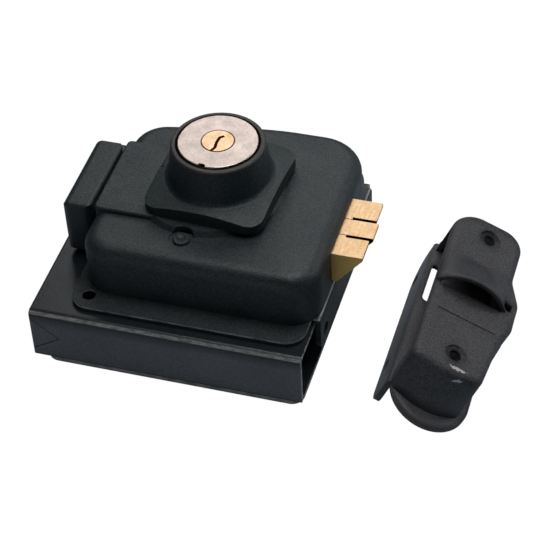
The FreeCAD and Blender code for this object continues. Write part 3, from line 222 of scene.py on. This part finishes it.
class Finish:
    """Builds one procedural material on the object's own coordinates."""

    def __init__(self, name):
        self.material = bpy.data.materials.new(name)
        self.material.use_nodes = True
        self.tree = self.material.node_tree
        self.shader = self.tree.nodes["Principled BSDF"]
        self.place = self.tree.nodes.new("ShaderNodeTexCoord").outputs["Object"]
        self.normal = None

    def node(self, kind, inputs, **settings):
        node = self.tree.nodes.new(kind)
        for key, value in settings.items():
            setattr(node, key, value)
        for key, value in inputs.items():
            self.feed(node.inputs[key], value)
        return node

    def feed(self, socket, value):
        if isinstance(value, bpy.types.NodeSocket):
            self.tree.links.new(value, socket)
        elif socket.type == "RGBA":
            socket.default_value = (*value, 1.0)
        else:
            socket.default_value = value

    def noise(self, size, detail=2.0, stretch=(1.0, 1.0, 1.0)):
        """Cloudy pattern whose spots are about one size across."""
        place = self.node("ShaderNodeMapping", {"Vector": self.place, "Scale": stretch}).outputs["Vector"]
        return self.node("ShaderNodeTexNoise", {
            "Vector": place, "Scale": 1.0 / (size * MM), "Detail": detail}).outputs["Fac"]

    def rings(self, size):
        """Pattern of rings round the upright axis."""
        inputs = {"W": self.radius(), "Scale": 1.0 / (size * MM), "Detail": 2.0}
        return self.node("ShaderNodeTexNoise", inputs, noise_dimensions="1D").outputs["Fac"]

    def upward(self):
        """How far the surface faces up: one for a top, zero for an upright side."""
        normal = self.node("ShaderNodeNewGeometry", {}).outputs["Normal"]
        return self.node("ShaderNodeSeparateXYZ", {"Vector": normal}).outputs["Z"]

    def part(self, axis):
        """One coordinate of the surface point, in metres."""
        return self.node("ShaderNodeSeparateXYZ", {"Vector": self.place}).outputs[axis]

    def radius(self, centre=(0.0, 0.0)):
        """Distance from an upright axis, in metres."""
        along_x = self.maths("SUBTRACT", self.part("X"), centre[0] * MM)
        along_y = self.maths("SUBTRACT", self.part("Y"), centre[1] * MM)
        squares = self.maths("ADD", self.maths("MULTIPLY", along_x, along_x),
                             self.maths("MULTIPLY", along_y, along_y))
        return self.maths("SQRT", squares)

    def distance(self, place, size):
        """Distance from a place as a share of a size along each axis."""
        offset = self.node("ShaderNodeMapping", {
            "Vector": self.place, "Location": tuple(-p / s for p, s in zip(place, size)),
            "Scale": tuple(1.0 / (s * MM) for s in size)}).outputs["Vector"]
        return self.node("ShaderNodeVectorMath", {0: offset}, operation="LENGTH").outputs["Value"]

    def maths(self, operation, first, second=0.0):
        return self.node("ShaderNodeMath", {0: first, 1: second}, operation=operation).outputs[0]

    def ramp(self, value, low, high, start=0.0, end=1.0):
        """Goes from a start to an end while the value goes from low to high."""
        return self.node("ShaderNodeMapRange", {
            "Value": value, "From Min": low, "From Max": high, "To Min": start, "To Max": end},
            clamp=True).outputs["Result"]

    def fade(self, value, low, high):
        """One below the low limit, zero above the high one."""
        return self.ramp(value, low, high, 1.0, 0.0)

    def band(self, value, low, high, blur):
        """One between two limits, zero outside them."""
        return self.maths("MULTIPLY", self.ramp(value, low - blur, low), self.fade(value, high, high + blur))

    def blend(self, share, first, second):
        node = self.tree.nodes.new("ShaderNodeMix")
        node.data_type = "RGBA"
        self.feed(node.inputs["Factor"], share)
        self.feed(node.inputs[6], first)
        self.feed(node.inputs[7], second)
        return node.outputs[2]

    def round_off(self, radius):
        """Shades the sharp edges as if they had a radius."""
        self.normal = self.node("ShaderNodeBevel", {"Radius": radius * MM}, samples=8).outputs["Normal"]

    def bump(self, height, depth, strength=1.0):
        """Adds relief of a depth to the surface, over the relief that is there."""
        inputs = {"Height": height, "Distance": depth * MM, "Strength": strength}
        if self.normal is not None:
            inputs["Normal"] = self.normal
        self.normal = self.node("ShaderNodeBump", inputs).outputs["Normal"]
        self.feed(self.shader.inputs["Normal"], self.normal)

    def shine(self, level):
        self.feed(self.shader.inputs["Specular IOR Level"], level)

    def look(self, colour, roughness, metallic):
        self.feed(self.shader.inputs["Base Color"], colour)
        self.feed(self.shader.inputs["Roughness"], roughness)
        self.feed(self.shader.inputs["Metallic"], metallic)
        return self.material


def mixed(finish, cloud, fine, share):
    """Pattern of a soft cloud and a fine one, with the share that the fine one has."""
    soft = finish.maths("MULTIPLY", cloud, 1.0 - share)
    return finish.maths("ADD", soft, finish.maths("MULTIPLY", fine, share))


def powder_coat(name, dark, light, edge_radius=0.0):
    """Matt black coat with a fine texture and a slightly cloudy shade.

    Gives the finish, its colour, its gloss and its roughness, for the marks, wear and painted light and
    shade that a piece adds.
    """
    finish = Finish(name)
    if edge_radius:
        finish.round_off(edge_radius)
    cloud = finish.ramp(finish.noise(COAT_CLOUD, 3.0), 0.3, 0.7)
    speckle = finish.ramp(finish.noise(COAT_SPECKLE, 3.0), 0.38, 0.62)
    colour = finish.blend(mixed(finish, cloud, speckle, COAT_SPECKLE_SHARE), dark, light)
    gloss = finish.ramp(speckle, 0.0, 1.0, *COAT_GLOSS)
    finish.shine(gloss)
    finish.bump(finish.noise(COAT_GRAIN, 3.0), COAT_GRAIN_DEPTH)
    finish.bump(finish.noise(COAT_WAVE, 1.0), COAT_WAVE_DEPTH, 0.5)
    return finish, colour, gloss, finish.ramp(cloud, 0.0, 1.0, *COAT_ROUGHNESS)


def lock_coat():
    finish, colour, _, roughness = powder_coat("lock_coat", COAT_DARK, COAT_LIGHT)
    return finish.look(colour, roughness, 0.0)


def plate_coat():
    """The same coat on the base plate, with a painted highlight along its top edge where the light would
    catch it.
    """
    finish, colour, _, roughness = powder_coat("plate_coat", COAT_DARK, COAT_LIGHT)
    # painted highlight: the plate's top edge is coloured lighter as if it caught the light
    edge = finish.fade(finish.upward(), *HIGHLIGHT_EDGE_FACING)
    top = finish.ramp(finish.part("Z"), *((PLATE_TOP - depth) * MM for depth in HIGHLIGHT_EDGE_DEPTH))
    patch = finish.ramp(finish.noise(HIGHLIGHT_EDGE_PATCH), 0.3, 0.6, 0.3, 1.0)
    painted_highlight = finish.maths("MULTIPLY", finish.maths("MULTIPLY", edge, top), patch)
    return finish.look(finish.blend(painted_highlight, colour, EDGE_HIGHLIGHT), roughness, 0.0)


def housing_coat():
    """The same coat, rubbed to brown on the rim of the collar, with painted shade in a small hole in the
    casting and in the bore round the cylinder.
    """
    finish, colour, gloss, roughness = powder_coat("housing_coat", HOUSING_DARK, HOUSING_LIGHT)
    inner = COLLAR_RADIUS - COLLAR_LIP - RIM_INSET
    rim = finish.ramp(finish.radius(), inner * MM, (inner + RIM_BLUR) * MM)
    height = finish.ramp(finish.part("Z"), *((COLLAR_TOP - depth) * MM for depth in RIM_DEPTH))
    patch = finish.ramp(finish.noise(RIM_PATCH), 0.2, 0.6, 0.5, 1.0)
    rubbed = finish.maths("MULTIPLY", finish.maths("MULTIPLY", rim, height), patch)
    # painted shade: the small hole and the bore inside the collar are coloured dark and lose their gloss
    shaded_hole = finish.fade(finish.radius(SHADED_CAST_HOLE), SHADED_CAST_HOLE_RADIUS * 0.8 * MM, SHADED_CAST_HOLE_RADIUS * MM)
    shaded_joint = finish.fade(finish.radius(), (inner - 0.1) * MM, inner * MM)
    shaded_hollow = finish.maths("MAXIMUM", shaded_hole, shaded_joint)
    colour = finish.blend(shaded_hollow, finish.blend(rubbed, colour, RIM_WORN), PAINTED_SHADE_DARK)
    finish.shine(finish.maths("MULTIPLY", gloss, finish.fade(shaded_hollow, 0.0, 1.0)))
    return finish.look(colour, roughness, 0.0)


def keeper_coat():
    """Greyer coat of the keeper, paler towards its foot, with the two bright scrapes on its front edge."""
    finish, colour, _, roughness = powder_coat("keeper_coat", KEEPER_DARK, KEEPER_LIGHT, KEEPER_EDGE)
    foot = finish.ramp(finish.part("Z"), *(height * MM for height in FOOT_FADE), FOOT_SHARE, 0.0)
    colour = finish.blend(foot, colour, KEEPER_FOOT)
    for place, size in SCRAPES:
        fray = finish.ramp(finish.noise(SCRAPE_FRAY, 3.0), 0.0, 1.0, -1.0, 1.0)
        scrape = finish.fade(finish.maths("ADD", finish.distance(place, size), fray), 0.75, 0.95)
        colour = finish.blend(scrape, colour, SCRATCH)
    return finish.look(colour, roughness, 0.0)


def bottom_paint():
    """Satin black paint on the bottom plate, lighter on its sheared edge: partly bare metal, partly a
    painted highlight.
    """
    finish = Finish("bottom_paint")
    cloud = finish.ramp(finish.noise(BOTTOM_CLOUD, 3.0), 0.3, 0.7)
    edge = finish.band(finish.upward(), *BOTTOM_EDGE_FACING, 0.1)
    patch = finish.ramp(finish.noise(BOTTOM_EDGE_PATCH), 0.35, 0.6, 0.5, 1.0)
    colour = finish.blend(cloud, PAINT_DARK, PAINT_LIGHT)
    # bare sheared edge and painted highlight, coloured pale on the side faces
    colour = finish.blend(finish.maths("MULTIPLY", edge, patch), colour, CUT_EDGE_AND_HIGHLIGHT)
    finish.bump(finish.noise(PAINT_PEEL), PAINT_PEEL_DEPTH, 0.8)
    return finish.look(colour, finish.ramp(cloud, 0.0, 1.0, *BOTTOM_ROUGHNESS), 0.0)


def box_paint():
    """Satin black paint on sheet, drawn thin and smoother along the bends with a painted highlight there,
    painted light on the upright sides fading to painted shade under the top bend, a painted shadow in the
    seam at the foot, and bare on the sawn end.
    """
    finish = Finish("box_paint")
    cloud = finish.ramp(finish.noise(PAINT_CLOUD, 3.0), 0.3, 0.7)
    grain = finish.ramp(finish.noise(PAINT_GRAIN, 3.0, PAINT_DRAWN), 0.3, 0.7)
    shade = mixed(finish, cloud, grain, PAINT_GRAIN_SHARE)
    # painted light on upright faces, held back to painted shade just under the top bend
    lit_side = finish.fade(finish.upward(), *SIDE_LIGHT_FACING)
    shade_under_bend = finish.ramp(finish.part("Z"), *((BOX_TOP - depth) * MM for depth in SIDE_LIGHT_FADE), 1.0, 0.15)
    painted_side_light = finish.blend(finish.ramp(shade, 0.0, 1.0, *SIDE_LIGHT_TONE), PAINT_LIGHT, PAINTED_SIDE_LIGHT)
    colour = finish.blend(shade, PAINT_DARK, PAINT_LIGHT)
    colour = finish.blend(finish.maths("MULTIPLY", lit_side, shade_under_bend), colour, painted_side_light)
    sawn = finish.ramp(finish.part("X"), *((BOX_RIGHT_END - depth) * MM for depth in SAWN_END))
    broken = finish.ramp(finish.noise(SAWN_PATCH), 0.42, 0.55)
    colour = finish.blend(finish.maths("MULTIPLY", sawn, broken), colour, CUT_EDGE_AND_HIGHLIGHT)
    # painted highlight: a pale broken streak along the top bend where light would catch it
    bend = finish.band(finish.upward(), *BEND_FACING, BEND_BLUR)
    highlight_streak = finish.ramp(finish.noise(BEND_HIGHLIGHT_STREAK, 3.0, BEND_HIGHLIGHT_STRETCH), 0.3, 0.7, 0.3, 1.0)
    colour = finish.blend(finish.maths("MULTIPLY", bend, highlight_streak), colour, CUT_EDGE_AND_HIGHLIGHT)
    # painted shadow: the seam at the foot of the pan is coloured dark
    shaded_seam = finish.fade(finish.part("Z"), *((PAN_FOOT + height) * MM for height in SEAM_SHADE_HEIGHT))
    colour = finish.blend(shaded_seam, colour, PAINTED_SHADE_DARK)
    finish.bump(finish.noise(PAINT_PEEL), PAINT_PEEL_DEPTH, 0.8)
    finish.bump(finish.noise(SHEET_WAVE), SHEET_WAVE_DEPTH, 0.4)
    finish.shine(PAINT_GLOSS)
    dull = finish.ramp(grain, 0.0, 1.0, *PAINT_ROUGHNESS)
    roughness = finish.maths("SUBTRACT", dull, finish.maths("MULTIPLY", bend, BEND_POLISH))
    return finish.look(colour, roughness, 0.0)


def sawn_brass():
    """Cast and sawn brass: a mottled warm tone, saw marks across the latch, a duller skin in places, painted
    light on its upright sides and painted shade in its slots.
    """
    finish = Finish("sawn_brass")
    mottle = finish.ramp(finish.noise(BRASS_MOTTLE, 3.0), 0.35, 0.65)
    saw_marks = finish.noise(BRASS_MARKS, 2.0, BRASS_SAWN)
    marks = finish.ramp(saw_marks, 0.35, 0.65)
    skin = finish.ramp(finish.noise(BRASS_SKIN), 0.45, 0.75)
    tone = finish.maths("ADD", finish.maths("MULTIPLY", mottle, 0.55), finish.maths("MULTIPLY", marks, 0.4))
    colour = finish.blend(tone, BRASS_DARK, BRASS_LIGHT)
    colour = finish.blend(finish.maths("MULTIPLY", skin, 0.3), colour, BRASS_DARK)
    # painted light on the upright sides of the latch
    colour = finish.blend(finish.ramp(finish.upward(), *BRASS_SIDE_LIGHT_FACING, 0.8, 0.0), colour, BRASS_SIDE_LIGHT)
    outer, inner = (distance * MM for distance in SLOT_EDGE)
    depth = finish.part("Y")
    start, end = (LATCH_SLOT_START - SLOT_END) * MM, (LATCH_SLOT_START + SLOT_END) * MM
    cut = finish.ramp(finish.part("X"), start, end)
    # painted shade: the slots in the latch are coloured dark beyond the case
    for front, back in LATCH_SLOTS:
        slot_shade = finish.maths("MULTIPLY", finish.ramp(depth, front * MM - outer, front * MM - inner),
                              finish.fade(depth, back * MM + inner, back * MM + outer))
        colour = finish.blend(finish.maths("MULTIPLY", slot_shade, cut), colour, PAINTED_SHADE_DARK)
    finish.bump(saw_marks, BRASS_RELIEF, 0.8)
    finish.bump(finish.noise(BRASS_DENTS), BRASS_RELIEF, 0.6)
    return finish.look(colour, finish.ramp(mottle, 0.0, 1.0, *BRASS_ROUGHNESS), 1.0)


def turned_metal(name, light, dark, ring):
    """Face turned on a lathe: fine rings round the cylinder's axis, a soft tarnish, and painted shade in the
    joint round the plug and in the notch of the face.
    """
    finish = Finish(name)
    tarnish = finish.ramp(finish.noise(TURNED_TARNISH, 3.0), 0.3, 0.72)
    rings = finish.rings(ring)
    grain = finish.ramp(rings, 0.35, 0.65)
    speckle = finish.ramp(finish.noise(TURNED_SPECKLE, 3.0), 0.35, 0.65)
    tone = finish.maths("ADD", finish.maths("MULTIPLY", tarnish, 0.4), finish.maths("MULTIPLY", grain, 0.3))
    tone = finish.maths("ADD", tone, finish.maths("MULTIPLY", speckle, 0.3))
    # painted shade: the joint round the plug and the notch in the face are coloured dark
    gap = finish.maths("ABSOLUTE", finish.maths("SUBTRACT", finish.radius(), PLUG_RADIUS * MM))
    shaded_joint = finish.ramp(gap, *(width * MM for width in SHADED_JOINT_WIDTH), SHADED_JOINT_SHARE, 0.0)
    colour = finish.blend(shaded_joint, finish.blend(tone, dark, light), PAINTED_SHADE_DARK)
    colour = finish.blend(finish.fade(finish.distance(*FACE_NOTCH), 0.85, 0.95), colour, PAINTED_SHADE_DARK)
    finish.bump(rings, RING_DEPTH, 0.6)
    finish.bump(speckle, SPECKLE_DEPTH, 0.6)
    roughness = finish.ramp(tarnish, 0.0, 1.0, TURNED_ROUGHNESS + TARNISH_DULL, TURNED_ROUGHNESS)
    return finish.look(colour, roughness, 1.0)


def plated(name, light, dark, size, rough):
    """Zinc or bare wire with a cloudy plating and a slight grain."""
    finish = Finish(name)
    cloud = finish.ramp(finish.noise(size, 3.0), 0.3, 0.7)
    finish.bump(finish.noise(PLATING_GRAIN), PLATING_DEPTH, 0.5)
    roughness = finish.ramp(cloud, 0.0, 1.0, rough + PLATING_DULL, rough)
    return finish.look(finish.blend(cloud, dark, light), roughness, 1.0)


def soften(width, names):
    """Rounds the sharp edges of sheet and castings a little, so that they catch the light."""
    for name in names:
        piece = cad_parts[name]
        weld = piece.modifiers.new("weld", "WELD")
        weld.merge_threshold = WELD_GAP * MM
        bevel = piece.modifiers.new("soft_edges", "BEVEL")
        bevel.width = width * MM
        bevel.segments = EDGE_STEPS
        bevel.limit_method = "ANGLE"
        bevel.angle_limit = math.radians(EDGE_ANGLE)
        bevel.use_clamp_overlap = True
        normals = piece.modifiers.new("normals", "WEIGHTED_NORMAL")
        normals.weight = 50
        normals.keep_sharp = False


def dress(material, names):
    for name in names:
        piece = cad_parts[name]
        if not piece.material_slots:
            piece.data.materials.append(material)
        for slot in piece.material_slots:
            slot.material = material


def springs(node, body, material):
    """Copies of the springs in their own mesh, carried by a body in place of the original part."""
    piece = bpy.data.objects.new(node + "_coils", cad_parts[node].data.copy())
    piece.data.materials.clear()
    piece.data.materials.append(material)
    bpy.context.scene.collection.objects.link(piece)
    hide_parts(node)
    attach(piece, body)
    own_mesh(piece)


def floor():
    """Pale floor that the camera sees as clean white, with a faint shadow left in it."""
    half = FLOOR_SIZE * MM / 2.0
    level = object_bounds()[0][2]
    corners = [(-half, -half, level), (half, -half, level), (half, half, level), (-half, half, level)]
    mesh = bpy.data.meshes.new("floor")
    mesh.from_pydata(corners, [], [(0, 1, 2, 3)])
    piece = bpy.data.objects.new("floor", mesh)
    bpy.context.scene.collection.objects.link(piece)
    finish = Finish("floor")
    finish.look(finish.blend(finish.noise(FLOOR_CLOUD), FLOOR_COLOUR, FLOOR_LIGHT), FLOOR_ROUGHNESS, 0.0)
    seen = finish.node("ShaderNodeLightPath", {}).outputs["Is Camera Ray"]
    share = finish.maths("MULTIPLY", seen, FLOOR_GLOW_SHARE)
    glow = finish.node("ShaderNodeEmission", {"Color": (1.0, 1.0, 1.0), "Strength": BACKDROP_GLOW})
    shaders = {0: share, 1: finish.shader.outputs[0], 2: glow.outputs[0]}
    mix = finish.node("ShaderNodeMixShader", shaders).outputs[0]
    finish.feed(finish.tree.nodes["Material Output"].inputs["Surface"], mix)
    mesh.materials.append(finish.material)
    piece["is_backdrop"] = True


def studio():
    """Soft lights round the object, and a world that the camera sees as clean white."""
    for name, (place, aim, width, depth, power) in LIGHTS.items():
        data = bpy.data.lights.new(name, "AREA")
        data.shape = "RECTANGLE"
        data.size = width * MM
        data.size_y = depth * MM
        data.energy = power
        lamp = bpy.data.objects.new(name, data)
        lamp.location = Vector(place) * MM
        lamp.rotation_euler = (Vector(aim) - Vector(place)).to_track_quat("-Z", "Y").to_euler()
        bpy.context.scene.collection.objects.link(lamp)
    world = bpy.data.worlds.new("studio")
    world.use_nodes = True
    sky = world.node_tree.nodes["Background"]
    sky.inputs["Color"].default_value = (1.0, 1.0, 1.0, 1.0)
    seen = world.node_tree.nodes.new("ShaderNodeLightPath")
    strength = world.node_tree.nodes.new("ShaderNodeMapRange")
    strength.inputs["To Min"].default_value = WORLD_LIGHT
    strength.inputs["To Max"].default_value = BACKDROP_GLOW
    world.node_tree.links.new(seen.outputs["Is Camera Ray"], strength.inputs["Value"])
    world.node_tree.links.new(strength.outputs["Result"], sky.inputs["Strength"])
    bpy.context.scene.world = world


def camera():
    data = bpy.data.cameras.new("camera")
    data.lens = FOCAL_LENGTH
    data.sensor_width = SENSOR_WIDTH
    data.clip_start = NEAREST * MM
    view = bpy.data.objects.new("camera", data)
    view.location = Vector(CAMERA_PLACE) * MM
    view.rotation_euler = [math.radians(turn) for turn in CAMERA_TURN]
    bpy.context.scene.collection.objects.link(view)
    bpy.context.scene.camera = view


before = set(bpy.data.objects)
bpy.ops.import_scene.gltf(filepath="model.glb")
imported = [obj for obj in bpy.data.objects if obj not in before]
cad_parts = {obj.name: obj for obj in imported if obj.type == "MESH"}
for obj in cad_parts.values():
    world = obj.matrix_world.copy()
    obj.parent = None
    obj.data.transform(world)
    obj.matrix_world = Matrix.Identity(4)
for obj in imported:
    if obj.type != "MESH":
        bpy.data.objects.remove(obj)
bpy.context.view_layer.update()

dress(box_paint(), ["weld_box_pan"])
dress(bottom_paint(), ["weld_box_bottom"])
dress(plate_coat(), ["base_plate"])
dress(lock_coat(), ["case_shell", "case_rivets", "pull_handle"])
dress(keeper_coat(), ["keeper_plate", "keeper_cover"])
dress(housing_coat(), ["cylinder_housing"])
dress(sawn_brass(), ["latch_bolt", "deadlock_finger"])
dress(turned_metal("satin_nickel", NICKEL_LIGHT, NICKEL_DARK, NICKEL_RING), ["cylinder_body"])
dress(turned_metal("polished_brass", PLUG_LIGHT, PLUG_DARK, PLUG_RING), [
    "cylinder_plug", "key_pins", "driver_pins"])
dress(plated("zinc", ZINC_LIGHT, ZINC_DARK, ZINC_CLOUD, ZINC_ROUGHNESS), [
    "case_screws", "slide_plate", "slide_rivets", "spring_bracket", "spring_rods", "bolt_guide",
    "guide_pins", "drive_wheel", "wheel_post", "cylinder_screws", "handle_screws", "plug_clip",
    "tail_bar", "keeper_bushes"])
spring_wire = plated("spring_wire", WIRE_LIGHT, WIRE_DARK, WIRE_CLOUD, WIRE_ROUGHNESS)
dress(spring_wire, ["pin_springs"])
springs("return_springs", "lock_and_keeper", spring_wire)
springs("finger_spring", "latch", spring_wire)

soften(HOUSING_SOFT, ["cylinder_housing"])
soften(SHEET_SOFT, ["base_plate", "keeper_plate", "pull_handle"])
soften(BLOCK_SOFT, ["latch_bolt", "deadlock_finger", "weld_box_pan", "weld_box_bottom", "keeper_cover"])

floor()
studio()
camera()
bpy.context.scene.view_settings.view_transform = "Standard"
